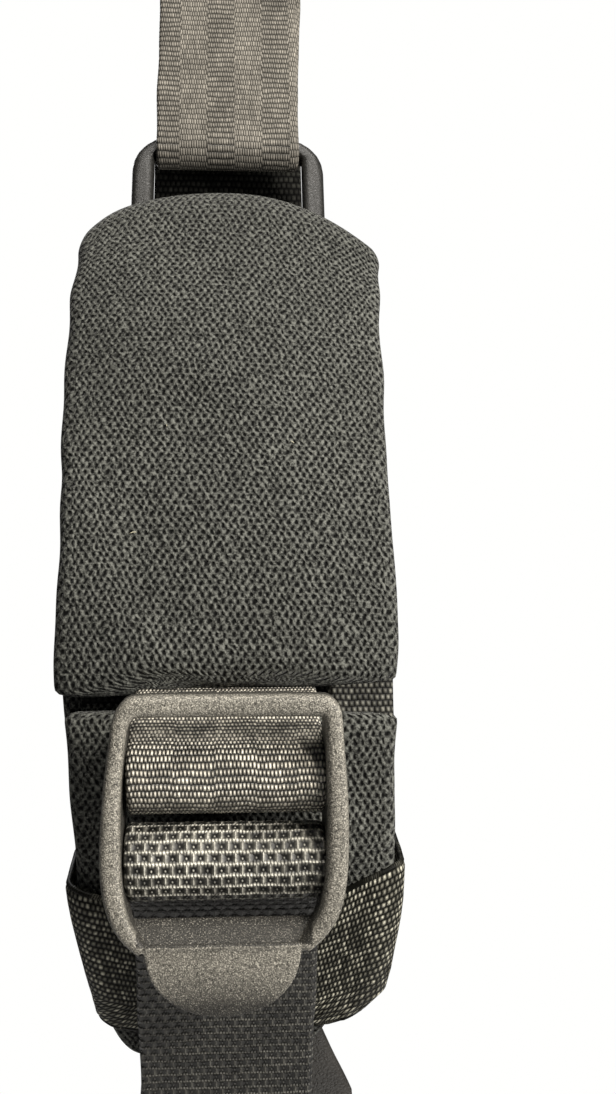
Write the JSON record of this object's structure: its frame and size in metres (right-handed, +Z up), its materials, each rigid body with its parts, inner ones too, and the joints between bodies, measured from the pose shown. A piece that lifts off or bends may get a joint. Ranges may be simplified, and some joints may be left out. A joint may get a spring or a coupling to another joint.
{
  "type": "saxophone neck strap",
  "caption": "Padded neck strap for a saxophone: webbing loop, knit-faced pad, ladderlock length adjuster, leather yoke and swivel bolt snap hook.",
  "frame": {"origin": "inner face of the webbing at the top of the loop, where the strap rests on the neck", "axes": "+Z up, -Y towards the pad and ladderlock, +X to the viewer's right"},
  "size_m": [0.0494, 0.1889, 0.4352],
  "materials": {
    "fine_webbing": "matte",
    "coarse_webbing": "matte",
    "knit_neoprene": "matte",
    "woven_tape": "matte",
    "elastic_band": "matte",
    "smooth_leather": "satin",
    "acetal_plastic": "satin grained",
    "nickel_plate": "polished nickel plate"
  },
  "bodies": {
    "strap": {"upper_webbing": "fine_webbing", "upper_webbing_end": "fine_webbing", "pad_wrap": "knit_neoprene", "pad_lower_panel": "knit_neoprene", "core_tape": "woven_tape", "ring_guard": "woven_tape", "anchor_webbing": "fine_webbing", "adjuster_leg": "coarse_webbing", "adjuster_tail": "coarse_webbing", "tail_stop": "coarse_webbing", "elastic_keeper": "elastic_band", "guard_flap": "smooth_leather", "yoke_strap": "smooth_leather", "yoke_rivet_left": "nickel_plate", "yoke_rivet_right": "nickel_plate"},
    "ring": {"slide_ring": "acetal_plastic", "upper_webbing_loop": "fine_webbing"},
    "buckle": {"ladderlock": "acetal_plastic", "adjuster_wrap": "coarse_webbing"},
    "swivel": {"swivel_eye": "nickel_plate"},
    "hook": {"swivel_pin": "nickel_plate", "hook_body": "nickel_plate", "bolt_spring": "nickel_plate"},
    "bolt": {"hook_bolt": "nickel_plate"}
  },
  "joints": [
    {"name": "ring_tilt", "type": "hinge", "parent": "strap", "child": "ring", "pos_m": [0, -0.0633, -0.0862], "axis": [1, 0, 0], "range_deg": [-10, 10]},
    {"name": "buckle_tilt", "type": "hinge", "parent": "strap", "child": "buckle", "pos_m": [0, -0.1072, -0.1647], "axis": [-1, 0, 0], "range_deg": [0, 35]},
    {"name": "eye_swing", "type": "hinge", "parent": "strap", "child": "swivel", "pos_m": [0, 0, -0.366], "axis": [1, 0, 0], "range_deg": [-40, 40]},
    {"name": "hook_swivel", "type": "hinge", "parent": "swivel", "child": "hook", "pos_m": [0, 0, -0.3894], "axis": [0, 0, 1], "continuous": true},
    {"name": "bolt_slide", "type": "slide", "parent": "hook", "child": "bolt", "axis": [0, 0, 1], "range_m": [0, 0.005], "stiffness_N_per_m": 600, "springref_m": -0.003, "deforming": ["bolt_spring"]}
  ]
}
